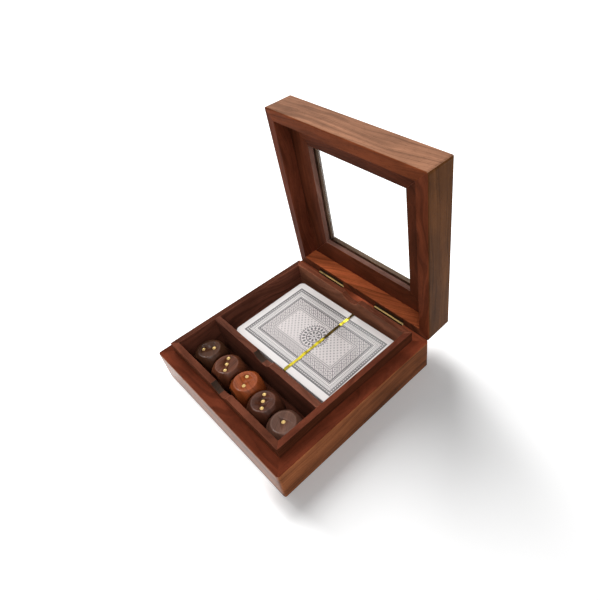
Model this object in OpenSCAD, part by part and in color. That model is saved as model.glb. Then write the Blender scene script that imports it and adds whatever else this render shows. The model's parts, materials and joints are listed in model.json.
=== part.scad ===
// Playing card box: a mitred wooden base with a raised liner, a dice bay and a card bay,
// and a glazed wooden lid on two brass stop hinges. Five wooden dice and a banded deck lie inside.
// Millimetres, +Z up, front at -Y, hinges at the back. The origin is the middle of the underside.
// The lid is drawn open, at rest on the stops of its hinges.

/* [Cards] */
// Length of a card, left to right in its bay
card_l = 88; // [80:0.5:100]
// Width of a card, front to back in its bay
card_w = 58; // [50:0.5:70]
// Corner radius of a card
card_r = 3.2; // [2:0.1:5]
// Height of the whole deck
deck_h = 16.8; // [12:0.1:18]
// Thickness of the top card
card_t = 0.3; // [0.2:0.05:0.5]
// Turn of the deck in its bay, in degrees
deck_turn = 1.2; // [-1.5:0.1:1.5]
// Gap between the deck and the left liner
card_left_gap = 8; // [2:0.1:12]
// Gap between the deck and the right liner
card_right_gap = 1.8; // [1.5:0.1:12]
// Gap between the deck and the divider
card_front_gap = 3.8; // [2:0.1:12]
// Gap between the deck and the back liner
card_back_gap = 3.5; // [2:0.1:12]
// Width of the band round the deck
band_w = 1.6; // [1:0.1:6]
// Thickness of the band
band_t = 0.15; // [0.1:0.05:0.4]
// Distance of the band from the middle of the deck
band_x = 6; // [-20:0.1:20]

/* [Dice] */
// Width of a die across its flats
die_s = 17.5; // [14:0.1:20]
// Diameter of the flat circle on each face of a die
die_face_d = 14; // [12:0.1:16.5]
// Gap between neighbouring dice
die_gap = 1.5; // [1.2:0.1:4]
// Gap between the first die and the left liner
dice_left_gap = 1.2; // [1:0.1:6]
// Gap between the last die and the right liner
dice_right_gap = 3.1; // [1:0.1:8]
// Gap between the row of dice and the front liner
dice_front_gap = 4; // [3:0.1:8]
// Gap between the row of dice and the divider
dice_back_gap = 4.1; // [3:0.1:8]
// How far the last die lies out of the row, towards the front
dice_stray = 1.9; // [0:0.1:2.5]
// Radius of an inlaid pip
pip_r = 1.15; // [0.6:0.05:1.4]
// Length of an inlaid pip
pip_l = 1.4; // [0.8:0.1:2]
// Distance of an outer pip from the middle of its face, along each side
pip_spread = 3.2; // [2.6:0.1:3.8]
// The same distance on the face with two pips
pair_spread = 2.3; // [1.6:0.1:3.8]

/* [Base] */
// Height of the outer walls of the base
base_h = 22; // [18:0.5:40]
// Thickness of the bottom panel
bottom_t = 3.2; // [2:0.1:6]
// How far the bottom panel runs under the walls
bottom_hold = 3; // [1:0.1:4]
// Thickness of the liner
liner_t = 3.7; // [2:0.1:6]
// Height of the liner's lip above the walls
lip_h = 7.4; // [4:0.1:12]
// Thickness of the divider between the bays
divider_t = 3.9; // [2:0.1:6]
// Width of a finger notch at the top edge
notch_w = 15; // [10:0.5:24]
// Depth of a finger notch
notch_d = 4; // [3:0.1:6]
// Distance of the back liner's notch from the middle of the bay
back_notch_x = 3; // [-10:0.5:10]

/* [Lid] */
// Angle at which the lid stands open, in degrees
lid_open = 88; // [80:1:100]
// Thickness of the lid's front wall
wall_front = 7.2; // [5:0.1:12]
// Thickness of the lid's right wall
wall_right = 7.6; // [5:0.1:12]
// Thickness of the lid's back wall
wall_back = 5.8; // [5:0.1:12]
// Thickness of the lid's left wall
wall_left = 6.4; // [5:0.1:12]
// Gap between the lid walls and the lip inside them
lip_clear = 0.4; // [0.2:0.05:1]
// Gap between the closed lid and the base
lid_gap = 0.2; // [0.2:0.05:1]
// Room between the lip and the glass beads in the closed lid
lip_room = 2.6; // [1:0.1:6]
// Thickness of the beads that hold the glass
bead_t = 3.4; // [2.5:0.1:8]
// Thickness of the window frame
frame_t = 6; // [5:0.1:8]
// Width of the beads, from the lid's walls to the opening between them
bead_w = 15; // [10:0.5:24]
// How far the window frame shows past the beads
frame_show = 0.5; // [0.1:0.1:4]
// Thickness of the glass
glass_t = 3; // [2:0.1:4]
// How far the glass runs into the window frame
glass_hold = 4; // [2:0.1:6]

/* [Hinges] */
// Length of a hinge
hinge_l = 24; // [18:0.5:36]
// Distance of each hinge from the middle of the box
hinge_x = 27; // [20:0.5:40]
// Radius of the hinge barrel
barrel_r = 1.1; // [1:0.05:1.8]
// Radius of the hinge pin
pin_r = 0.6; // [0.5:0.05:0.7]
// Thickness of a hinge leaf
leaf_t = 0.8; // [0.6:0.05:1.2]
// Wood left between a leaf and the inside of the lid's back wall
leaf_margin = 1.9; // [0.4:0.1:2]
// Length of the lid's knuckle
knuckle_l = 9.6; // [6:0.2:14]
// Thickness of the stop heel behind the barrel
heel_t = 1.4; // [1:0.1:2]
// Length of a hinge screw
screw_l = 6; // [4:0.5:10]
// Radius of a screw's shank
screw_r = 0.5; // [0.4:0.05:0.6]
// Radius of a screw's head
screw_head_r = 0.9; // [0.8:0.05:1]
// Distance between the two screws of a leaf
screw_pitch = 15; // [10:0.5:24]

/* [Edges] */
// Rounding of the box's upright corners
corner_r = 2.2; // [0.5:0.1:4]
// Rounding of the box's outer edges
edge_r = 1; // [0.3:0.1:2]

/* [Clearances] */
// Side clearance of the bottom panel in its rebate
panel_fit = 0.1; // [0.05:0.05:0.3]
// Side clearance of the glass in its rebate
glass_fit = 0.3; // [0.1:0.05:0.6]
// Clearance of inlaid pips and screws in the wood
inlay_fit = 0.02; // [0.01:0.01:0.05]
// Radial clearance of the pin in the lid's knuckle
pin_run = 0.05; // [0.02:0.01:0.1]
// Clearance round a knuckle and between knuckles
knuckle_clear = 0.25; // [0.2:0.05:0.4]
// Angle between the two stop heels in the open lid, in degrees
heel_play = 0.4; // [0.2:0.1:1]

/* [Hidden] */
$fn = 48;
die_n = 5;
// Each die of the row, from the left: its share of the last die's stray, its turn and the number on top
dice = [
    [0.3, 5, 2],
    [0.05, -92, 3],
    [-0.05, -97, 2],
    [0.7, -91, 3],
    [1, 6, 1],
];

// Insets from the box's outline, each as front, right, back and left
no_inset = [0, 0, 0, 0];
all_round = [1, 1, 1, 1];
lid_wall = [wall_front, wall_right, wall_back, wall_left];
base_wall = lid_wall + lip_clear * all_round;
liner_in = base_wall + liner_t * all_round;
panel_in = base_wall - bottom_hold * all_round;
bead_in = lid_wall + bead_w * all_round;
frame_in = bead_in + frame_show * all_round;
glass_in = frame_in - glass_hold * all_round;

// The bays and the box round them
dice_row = dice_left_gap + die_n * die_s + (die_n - 1) * die_gap + dice_right_gap;
bay_w = max(dice_row, card_left_gap + card_l + card_right_gap);
dice_bay = dice_front_gap + die_s + dice_back_gap;
card_bay = card_front_gap + card_w + card_back_gap;
box_w = liner_in[3] + bay_w + liner_in[1];
box_l = liner_in[0] + dice_bay + divider_t + card_bay + liner_in[2];
bay_left = liner_in[3] - box_w / 2;
bay_right = bay_left + bay_w;
bay_mid = (bay_left + bay_right) / 2;
dice_front = liner_in[0] - box_l / 2;
divider_front = dice_front + dice_bay;
card_front = divider_front + divider_t;
card_back = card_front + card_bay;
lip_top = base_h + lip_h;
notch_r = (notch_w * notch_w / 4 + notch_d * notch_d) / (2 * notch_d);

// The deck's middle and foot
deck_mid = [bay_right - card_right_gap - card_l / 2, card_front + card_front_gap + card_w / 2];
deck_foot = bottom_t + band_t;

// Heights in the lid, counted from its rim
bead_z = lip_h - lid_gap + lip_room;
frame_z = bead_z + bead_t;
lid_h = frame_z + frame_t;

// The hinge line, and the hinge's own sizes about it
hinge_y = box_l / 2;
hinge_z = base_h + lid_gap / 2;
leaf_w = wall_back - leaf_margin;
knuckle_room = barrel_r + knuckle_clear;
heel_sweep = 90 - lid_open / 2 - heel_play / 2;
heel_in = knuckle_room / cos(heel_sweep / 2);
heel_out = heel_in + heel_t;
screw_y = -(knuckle_room + leaf_w) / 2;

// The knuckles of the base's leaf and of the lid's, in pairs of middle and length
end_knuckle_l = (hinge_l - knuckle_l) / 2 - knuckle_clear;
end_knuckle_x = (hinge_l - end_knuckle_l) / 2;
end_knuckles = [[-end_knuckle_x, end_knuckle_l], [end_knuckle_x, end_knuckle_l]];
mid_knuckles = [[0, knuckle_l]];

// How far a cut runs on past the face that it opens
through = 1;

// A sphere of this radius cuts a flat circle on each face of the die's cube
die_ball_r = sqrt(pow(die_face_d / 2, 2) + pow(die_s / 2, 2));
// Turns that bring the top face to the face with each number, from one to six
face_turns = [[0, 0, 0], [0, 90, 0], [-90, 0, 0], [90, 0, 0], [0, -90, 0], [180, 0, 0]];
// Turns of the whole die that bring one, two or three to the top
top_turns = [[0, 0, 0], [0, -90, 0], [90, 0, 0]];
die_colours = ["#3a1f19", "#44241c", "#8e3f1f", "#3c241d", "#4b3630"];

// Sides in the order of the insets
front = 0;
right = 1;
back = 2;
left = 3;

// Corners of the box's outline moved in by an inset, from front left round to back left
function corners(inset) = [
    [inset[left] - box_w / 2, inset[front] - box_l / 2],
    [box_w / 2 - inset[right], inset[front] - box_l / 2],
    [box_w / 2 - inset[right], box_l / 2 - inset[back]],
    [inset[left] - box_w / 2, box_l / 2 - inset[back]],
];

// One side of a mitred frame that lies between two insets
module mitred_side(side, outer, inner) {
    next = (side + 1) % 4;
    polygon([corners(outer)[side], corners(outer)[next], corners(inner)[next], corners(inner)[side]]);
}

module inset_plate(inset) {
    polygon(corners(inset));
}

module rounded_rect(w, l, r) {
    union() {
        square([w - 2 * r, l], center = true);
        square([w, l - 2 * r], center = true);
        for (x = [-1, 1], y = [-1, 1]) {
            translate([x * (w / 2 - r), y * (l / 2 - r)]) circle(r);
        }
    }
}

// The box's outline as a block of height h with its corners and edges rounded.
// The edge at the hinges stays square, at the top of the base and at the foot of the lid.
module softened_block(h, hinge_edge) {
    intersection() {
        linear_extrude(h) rounded_rect(box_w, box_l, corner_r);
        translate([0, box_l / 2, h / 2]) rotate([90, 0, 0]) {
            linear_extrude(box_l) rounded_rect(box_w, h, edge_r);
        }
        translate([-box_w / 2, 0, h / 2]) rotate([90, 0, 90]) linear_extrude(box_w) union() {
            rounded_rect(box_l, h, edge_r);
            translate([(box_l - edge_r) / 2, hinge_edge * (h - edge_r) / 2]) square(edge_r, center = true);
        }
    }
}

module x_cylinder(r, l) {
    rotate([0, 90, 0]) cylinder(r = r, h = l, center = true);
}

// Puts what is drawn about the hinge line at both hinges
module at_hinges() {
    for (side = [-1, 1]) {
        at_hinge(side) children();
    }
}

module at_hinge(side) {
    translate([side * hinge_x, hinge_y, hinge_z]) children();
}

// Turns the closed lid up about the hinge line
module opened() {
    translate([0, hinge_y, hinge_z]) rotate([-lid_open, 0, 0]) {
        translate([0, -hinge_y, -hinge_z]) children();
    }
}

// Puts what is drawn upwards from the lid's rim in the open lid
module in_lid() {
    opened() translate([0, 0, base_h + lid_gap]) children();
}

module screw_places() {
    for (side = [-1, 1]) {
        translate([side * screw_pitch / 2, screw_y, -lid_gap / 2]) children();
    }
}

// A countersunk screw below the plane z = 0, with its head flush, grown by a clearance
module screw_body(grow) {
    union() {
        translate([0, 0, -leaf_t]) cylinder(r1 = screw_r + grow, r2 = screw_head_r + grow, h = leaf_t);
        translate([0, 0, -screw_l]) cylinder(r = screw_r + grow, h = screw_l - leaf_t);
    }
}

module slotted_screw() {
    slot_w = screw_r / 2;
    slot_d = leaf_t / 3;
    difference() {
        screw_body(0);
        translate([-screw_head_r - through, -slot_w / 2, -slot_d]) {
            cube([2 * (screw_head_r + through), slot_w, slot_d + through]);
        }
    }
}

// Room for one hinge's lower half in the wood about it
module hinge_mortise() {
    leaf_room = hinge_l + 2 * knuckle_clear;
    translate([-leaf_room / 2, -leaf_w - inlay_fit, -lid_gap / 2 - leaf_t]) {
        cube([leaf_room, leaf_w + inlay_fit + through, leaf_t + lid_gap]);
    }
    x_cylinder(knuckle_room, leaf_room);
    screw_places() screw_body(inlay_fit);
}

// The stop behind the barrel of a lower leaf, as a four-sided bar drawn in the hinge's cross-section
module heel(r_in, r_out, l) {
    low = -90;
    high = low + heel_sweep;
    rotate([90, 0, 90]) linear_extrude(l, center = true) polygon([
        r_in * [cos(low), sin(low)],
        r_out * [cos(low), sin(low)],
        r_out * [cos(high), sin(high)],
        r_in * [cos(high), sin(high)],
    ]);
}

// The lower leaf of a hinge with its own knuckles, cut away for those of the other leaf
module hinge_leaf(own_knuckles, other_knuckles, bore) {
    difference() {
        union() {
            difference() {
                translate([-hinge_l / 2, -leaf_w, -lid_gap / 2 - leaf_t]) cube([hinge_l, leaf_w, leaf_t]);
                for (k = other_knuckles) {
                    translate([k[0], 0, 0]) x_cylinder(knuckle_room, k[1] + 2 * knuckle_clear);
                }
            }
            heel(heel_in, heel_out, hinge_l);
            for (k = own_knuckles) {
                translate([k[0], 0, 0]) {
                    x_cylinder(barrel_r, k[1]);
                    heel(barrel_r / 2, (heel_in + heel_out) / 2, k[1]);
                }
            }
        }
        x_cylinder(bore, hinge_l + through);
        screw_places() screw_body(inlay_fit);
    }
}

module base_hinge_leaf(side) {
    color("#a8863c") at_hinge(side) hinge_leaf(end_knuckles, mid_knuckles, pin_r + inlay_fit);
}

module lid_hinge_leaf(side) {
    color("#a8863c") opened() at_hinge(side) {
        mirror([0, 0, 1]) hinge_leaf(mid_knuckles, end_knuckles, pin_r + pin_run);
    }
}

module hinge_pin(side) {
    color("#c9a553") at_hinge(side) x_cylinder(pin_r, hinge_l);
}

module base_hinge_screws() {
    color("#b9964a") at_hinges() screw_places() slotted_screw();
}

module lid_hinge_screws() {
    color("#b9964a") opened() at_hinges() mirror([0, 0, 1]) screw_places() slotted_screw();
}

module base_wall_side(side) {
    color("#6b3220") difference() {
        intersection() {
            linear_extrude(base_h) mitred_side(side, no_inset, base_wall);
            softened_block(base_h, 1);
        }
        translate([0, 0, -through]) linear_extrude(bottom_t + through) inset_plate(panel_in);
        if (side == back) {
            at_hinges() hinge_mortise();
        }
    }
}

module bottom_panel() {
    color("#4a2417") linear_extrude(bottom_t) inset_plate(panel_in + panel_fit * all_round);
}

// A scoop for a finger across the top edge of a liner or the divider
module finger_notch(x, y, t) {
    translate([x, y, lip_top + notch_r - notch_d]) {
        rotate([90, 0, 0]) cylinder(r = notch_r, h = t + 2 * through, center = true);
    }
}

module liner_side(side) {
    color("#5c2619") difference() {
        translate([0, 0, bottom_t]) {
            linear_extrude(lip_top - bottom_t) mitred_side(side, base_wall, liner_in);
        }
        if (side == front) {
            finger_notch(bay_mid, dice_front - liner_t / 2, liner_t);
        }
        if (side == back) {
            finger_notch(bay_mid + back_notch_x, card_back + liner_t / 2, liner_t);
        }
    }
}

module divider() {
    color("#5c2619") difference() {
        translate([bay_left, divider_front, bottom_t]) cube([bay_w, divider_t, lip_top - bottom_t]);
        finger_notch(bay_mid, divider_front + divider_t / 2, divider_t);
    }
}

module lid_wall_side(side) {
    color("#7a4630") in_lid() difference() {
        intersection() {
            linear_extrude(lid_h) mitred_side(side, no_inset, lid_wall);
            softened_block(lid_h, -1);
        }
        if (side == back) {
            translate([0, 0, -base_h - lid_gap]) at_hinges() mirror([0, 0, 1]) hinge_mortise();
        }
    }
}

module frame_rail(side) {
    color("#70402b") in_lid() translate([0, 0, frame_z]) difference() {
        linear_extrude(frame_t) mitred_side(side, lid_wall, frame_in);
        translate([0, 0, -through]) linear_extrude(glass_t + through) inset_plate(glass_in);
    }
}

module glass_pane() {
    color("#dfe8e6", 0.35) in_lid() translate([0, 0, frame_z]) {
        linear_extrude(glass_t) inset_plate(glass_in + glass_fit * all_round);
    }
}

module bead(side) {
    color("#55281b") in_lid() translate([0, 0, bead_z]) {
        linear_extrude(bead_t) mitred_side(side, lid_wall, bead_in);
    }
}

module in_deck() {
    translate([deck_mid[0], deck_mid[1], deck_foot]) rotate([0, 0, deck_turn]) children();
}

module card_stack() {
    color("#f2efe9") in_deck() linear_extrude(deck_h - card_t) rounded_rect(card_l, card_w, card_r);
}

module top_card() {
    color("#dcdadb") in_deck() translate([0, 0, deck_h - card_t]) {
        linear_extrude(card_t) rounded_rect(card_l, card_w, card_r);
    }
}

// The band goes round the deck the short way, a little off the middle
module deck_band() {
    round_w = card_w + 2 * band_t;
    color("#d8c02a") in_deck() translate([band_x, 0, deck_h / 2]) difference() {
        cube([band_w, round_w, deck_h + 2 * band_t], center = true);
        cube([band_w + through, card_w, deck_h], center = true);
    }
}

// Places of the pips on a face with n pips
function pip_places(n) =
    n == 1 ? [[0, 0]] :
    n == 2 ? pair_spread * [[-1, -1], [1, 1]] :
    n == 3 ? concat(pip_places(1), pip_spread * [[-1, -1], [1, 1]]) :
    n == 4 ? pip_spread * [[-1, -1], [1, 1], [-1, 1], [1, -1]] :
    n == 5 ? concat(pip_places(1), pip_places(4)) :
    concat(pip_places(4), pip_spread * [[-1, 0], [1, 0]]);

// Puts what is drawn about a die's middle at the die's place in the row
module at_die(n) {
    die = dice[n - 1];
    x = bay_left + dice_left_gap + die_s / 2 + (n - 1) * (die_s + die_gap);
    y = dice_front + dice_front_gap + die_s / 2 - die[0] * dice_stray;
    translate([x, y, bottom_t + die_s / 2]) rotate([0, 0, die[1]]) rotate(top_turns[die[2] - 1]) children();
}

module die_pips(grow) {
    for (n = [1:6]) {
        rotate(face_turns[n - 1]) for (p = pip_places(n)) {
            translate([p[0], p[1], die_s / 2 - pip_l - grow]) cylinder(r = pip_r + grow, h = pip_l + grow);
        }
    }
}

module die_body(n) {
    color(die_colours[n - 1]) at_die(n) difference() {
        intersection() {
            cube(die_s, center = true);
            sphere(die_ball_r);
        }
        die_pips(inlay_fit);
    }
}

module die_pip_set(n) {
    color("#d2b15a") at_die(n) die_pips(0);
}

base_wall_side(front);  // base_front_wall
base_wall_side(right);  // base_right_wall
base_wall_side(back);  // base_back_wall
base_wall_side(left);  // base_left_wall
bottom_panel();
liner_side(front);  // liner_front
liner_side(right);  // liner_right
liner_side(back);  // liner_back
liner_side(left);  // liner_left
divider();
base_hinge_leaf(-1);  // base_hinge_leaf_left
base_hinge_leaf(1);  // base_hinge_leaf_right
hinge_pin(-1);  // hinge_pin_left
hinge_pin(1);  // hinge_pin_right
base_hinge_screws();
lid_wall_side(front);  // lid_front_wall
lid_wall_side(right);  // lid_right_wall
lid_wall_side(back);  // lid_back_wall
lid_wall_side(left);  // lid_left_wall
frame_rail(front);  // frame_front_rail
frame_rail(right);  // frame_right_rail
frame_rail(back);  // frame_back_rail
frame_rail(left);  // frame_left_rail
glass_pane();
bead(front);  // bead_front
bead(right);  // bead_right
bead(back);  // bead_back
bead(left);  // bead_left
lid_hinge_leaf(-1);  // lid_hinge_leaf_left
lid_hinge_leaf(1);  // lid_hinge_leaf_right
lid_hinge_screws();
card_stack();
top_card();
deck_band();
die_body(1);  // die_1
die_body(2);  // die_2
die_body(3);  // die_3
die_body(4);  // die_4
die_body(5);  // die_5
die_pip_set(1);  // die_1_pips
die_pip_set(2);  // die_2_pips
die_pip_set(3);  // die_3_pips
die_pip_set(4);  // die_4_pips
die_pip_set(5);  // die_5_pips
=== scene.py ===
"""Dresses a wooden playing card box: varnished boards, brass hinges, a glass pane, cards and dice.

The file is laid out as an add-on. Run as a script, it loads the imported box, makes its pieces
and sets the stage.
"""

import json
import math
from collections import namedtuple

import bmesh
import bpy
from bpy.props import FloatProperty, FloatVectorProperty, IntProperty, PointerProperty
from bpy.types import Operator, Panel, PropertyGroup
from mathutils import Euler, Matrix, Vector

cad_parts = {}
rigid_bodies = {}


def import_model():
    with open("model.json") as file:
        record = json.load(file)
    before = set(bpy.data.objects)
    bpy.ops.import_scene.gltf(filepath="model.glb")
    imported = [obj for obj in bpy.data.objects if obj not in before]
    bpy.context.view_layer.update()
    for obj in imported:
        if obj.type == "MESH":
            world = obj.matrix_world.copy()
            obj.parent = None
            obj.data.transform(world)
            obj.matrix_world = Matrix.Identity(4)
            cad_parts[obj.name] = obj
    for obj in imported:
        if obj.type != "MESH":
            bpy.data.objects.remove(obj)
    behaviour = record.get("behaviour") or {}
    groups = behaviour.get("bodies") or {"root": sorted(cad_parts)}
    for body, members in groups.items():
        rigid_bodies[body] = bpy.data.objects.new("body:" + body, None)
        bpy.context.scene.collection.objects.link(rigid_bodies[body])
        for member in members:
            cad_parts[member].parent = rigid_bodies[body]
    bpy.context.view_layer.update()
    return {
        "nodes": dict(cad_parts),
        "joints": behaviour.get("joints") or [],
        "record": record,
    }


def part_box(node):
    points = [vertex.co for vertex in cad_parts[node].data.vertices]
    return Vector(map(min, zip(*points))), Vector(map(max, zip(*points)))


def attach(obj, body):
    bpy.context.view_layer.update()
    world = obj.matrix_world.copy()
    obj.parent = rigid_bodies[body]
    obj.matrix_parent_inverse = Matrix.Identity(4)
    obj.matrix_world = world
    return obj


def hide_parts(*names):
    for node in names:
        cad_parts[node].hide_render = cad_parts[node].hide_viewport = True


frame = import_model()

bl_info = {
    "name": "Playing Card Box",
    "version": (1, 0, 0),
    "blender": (4, 5, 0),
    "location": "View3D > Sidebar > Card Box",
    "description": "Dresses a wooden card box with a glazed lid, a deck of cards and five dice",
    "category": "Object",
}

MM = 0.001
PER_METRE = 1 / MM
JOINTS = {joint["name"]: joint for joint in frame["joints"]}
LID_ANGLE = math.radians(-JOINTS["lid_hinge"]["range_deg"][0])
HINGE_LINE = Vector(JOINTS["lid_hinge"]["pos_m"]).yz
RECORD = frame["record"]
BODY_OF = {node: body for body, nodes in RECORD["behaviour"]["bodies"].items() for node in nodes}

# Points of a copied mesh closer than this are one point
WELD = 1e-6
# Faces within this angle are one flat face
FLAT_ANGLE = math.radians(0.5)
# Points closer than this to the hinge line belong to the edges that meet there
HINGE_REACH = 0.3 * MM
# Width of the painted shadow that stands for the gap along the hinge line when the lid is open
SHADED_GAP_WIDTH = 0.5 * MM
# Points closer than this to the hinge line, in millimetres, lie on the hinges' barrels
BARREL_REACH = 1.2
# Edges past this angle are sharp
SHARP_ANGLE = math.radians(30)
# Faces this far inside a die's round corners are its flat faces and the pockets of its pips
FLAT_REACH = 0.2 * MM
# Past this angle a die's edge is the rim of a pip's hole
RIM_ANGLE = math.radians(60)
# Directions with at least this cosine between them look the same way
SAME_WAY = 0.7
# Colour of painted shade on cut faces, and how much of it the left half of a notch, the hinge wall's rim
# and the gap there have
PAINTED_SHADE_COLOUR = (0.03, 0.026, 0.02)
NOTCH_SHADE = 0.8
RIM_SHADE = 0.5
GAP_SHADE = 0.95
# How much wear, painted highlight and extra coat a die's soft rims get
DIE_WEAR_AND_HIGHLIGHT = 0.5
# Pieces are spread along the grain by up to this many millimetres, so that their figures differ
GRAIN_SPREAD = 300
# Half the length of a board whose skin is painted darker towards one end, in millimetres
HALF_BOARD = 58
# A stretch of painted light sets in over this many millimetres to each side of its ends
PAINTED_LIGHT_EDGE = 4
# The dark varnish and painted shade on a hinge's barrel end between these two heights above the hinge
# line, in millimetres, above which the barrel shows bright brass
BARREL_SHADE_TOP = (0.65, 0.5)
# The shaded floor right of the box: the places in millimetres between which it sets in from the left,
# ends at the back and sets in from the front
SHADE_LEFT = (40.0, 62.0)
SHADE_BACK = (120.0, 70.0)
SHADE_FRONT = (-76.0, -52.0)


def colour(name, words, default):
    """A colour that a user can set."""
    return FloatVectorProperty(name=name, description=words, default=default, subtype="COLOR", size=3,
                               min=0, max=1)


def length(name, words, default):
    """A length in metres that a user can set."""
    return FloatProperty(name=name, description=words, default=default, min=0, unit="LENGTH", precision=5)


def degrees(name, words, default):
    """An angle that a user can set, given in degrees."""
    return FloatProperty(name=name, description=words, default=math.radians(default), subtype="ANGLE")


def power(name, words, default):
    """A strength that a user can set."""
    return FloatProperty(name=name, description=words, default=default, min=0)


def towards(name, words, default):
    """A direction that a user can set."""
    return FloatVectorProperty(name=name, description=words, default=default, subtype="DIRECTION", size=3)


class WoodSettings(PropertyGroup):
    """Colours of the boards, as middle tones, and how far their edges are eased."""

    base: colour("Base", "The base's ledge", (0.132, 0.0293, 0.0131))
    base_skin: colour("Base's outside", "The outer faces of the base", (0.295, 0.1, 0.0385))
    base_back: colour("Base's back", "The ledge of the base's back wall", (0.21, 0.05, 0.022))
    base_left: colour("Base's left", "The ledge of the base's left wall", (0.09, 0.0193, 0.0081))
    lid: colour("Lid", "Rim and inside of the lid's right wall", (0.188, 0.0462, 0.0193))
    lid_skin: colour("Lid's outside", "Outer faces of the lid's other walls", (0.122, 0.0457, 0.0145))
    lid_front: colour("Lid's front wall", "Rim and inside of the lid's front wall", (0.222, 0.056, 0.0204))
    lid_front_skin: colour("Lid's front", "Outer face of the lid's front wall", (0.342, 0.163, 0.095))
    lid_left: colour("Lid's left wall", "Rim and inside of the lid's left wall", (0.15, 0.0385, 0.018))
    lid_back: colour("Lid's hinge wall", "Rim and inside of the lid's back wall", (0.435, 0.106, 0.037))
    liner: colour("Front liner", "The front liner", (0.122, 0.0372, 0.0203))
    # The left liner's top is painted dark, as painted shade
    liner_left: colour("Left liner", "The top of the left liner", (0.07, 0.0225, 0.013))
    liner_left_face: colour("Left liner's face", "Inner face of the left liner", (0.165, 0.0545, 0.0325))
    liner_skin: colour("Liners' outside", "The outer faces of the liners", (0.089, 0.0256, 0.0118))
    liner_right: colour("Right liner", "The right liner", (0.168, 0.044, 0.0235))
    liner_back: colour("Back liner", "The top of the back liner", (0.152, 0.0455, 0.0235))
    liner_back_face: colour("Back liner's face", "Inner face of the back liner", (0.263, 0.102, 0.0565))
    divider: colour("Divider", "The divider", (0.11, 0.0385, 0.0238))
    bead: colour("Beads", "The beads round the glass", (0.125, 0.033, 0.0148))
    # The beads' edges towards the window are painted lighter, as painted light
    bead_edge: colour("Beads' edges", "Edges of the beads, towards the window", (0.2, 0.1, 0.075))
    rail: colour("Window frame", "The rails of the window frame", (0.115, 0.055, 0.03))
    # The rails' edges towards the window are painted lighter, as painted light
    rail_edge: colour("Window frame's edges", "Edges of the rails, towards the window", (0.2, 0.14, 0.1))
    panel: colour("Bottom panel", "The bottom panel", (0.07, 0.022, 0.013))
    ease: length("Edge easing", "Rounding of the boards' sharp edges", 0.00025)


class DiceSettings(PropertyGroup):
    """Colours of the dice and the shape of their pips."""

    dark: colour("Dark die", "Middle tone of the dark die", (0.053, 0.0207, 0.0103))
    brown: colour("Brown die", "Middle tone of the brown die", (0.091, 0.0283, 0.0132))
    umber: colour("Umber die", "Middle tone of the darker brown die", (0.062, 0.0204, 0.011))
    red: colour("Red die", "Middle tone of the red die", (0.197, 0.0445, 0.012))
    grey: colour("Grey die", "Middle tone of the greyish die", (0.093, 0.0428, 0.0282))
    ease: length("Edge easing", "Width of the soft edge round each flat face", 0.0007)
    gloss: FloatProperty(name="Gloss", description="Strength of the shine on the dice", default=0.1,
                         min=0, max=1)
    pip_radius: length("Pip radius", "Radius of a brass pip", 0.00115)
    pip_length: length("Pip length", "Length of a brass pip", 0.0014)
    pip_dimple: length("Pip dimple", "Depth of the hollow in a pip's end", 0.00018)


class DeckSettings(PropertyGroup):
    """Sizes and colours of the deck and its band."""

    card_length: length("Card length", "Length of a card", 0.088)
    card_width: length("Card width", "Width of a card", 0.058)
    corner_radius: length("Corner radius", "Corner radius of a card", 0.0032)
    turn: degrees("Turn", "Turn of the deck in its bay", 1.2)
    cards: IntProperty(name="Cards", description="Cards under the top card", default=53, min=1)
    slip: length("Slip", "How far a card lies out of line", 0.00012)
    paper: colour("Paper", "Colour of the cards", (0.78, 0.745, 0.73))
    ink: colour("Ink", "Colour of the printed pattern", (0.035, 0.034, 0.04))
    field: colour("Field", "Colour of the printed field's ground", (0.68, 0.63, 0.62))
    print_length: length("Print length", "Length of the printed pattern", 0.0793)
    print_width: length("Print width", "Width of the printed pattern", 0.0492)
    band_width: length("Band width", "Width of the band", 0.0019)
    gold: colour("Band", "Colour of the band", (0.8, 0.66, 0.05))
    gold_shade: colour("Band's folds", "Colour of the band in its folds", (0.09, 0.055, 0.008))


class MetalSettings(PropertyGroup):
    """Colours of the brass and the glass."""

    brass: colour("Brass", "Colour of clean brass", (0.72, 0.5, 0.2))
    tarnish: colour("Tarnish", "Colour of tarnished brass", (0.18, 0.085, 0.03))
    # The leaves' dark colour is varnish and painted shade
    leaf_shade: colour("Hinge leaves", "Colour of the varnished hinge leaves", (0.05, 0.023, 0.012))
    glass: colour("Glass", "Tint of the glass", (0.97, 0.99, 0.98))


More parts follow.
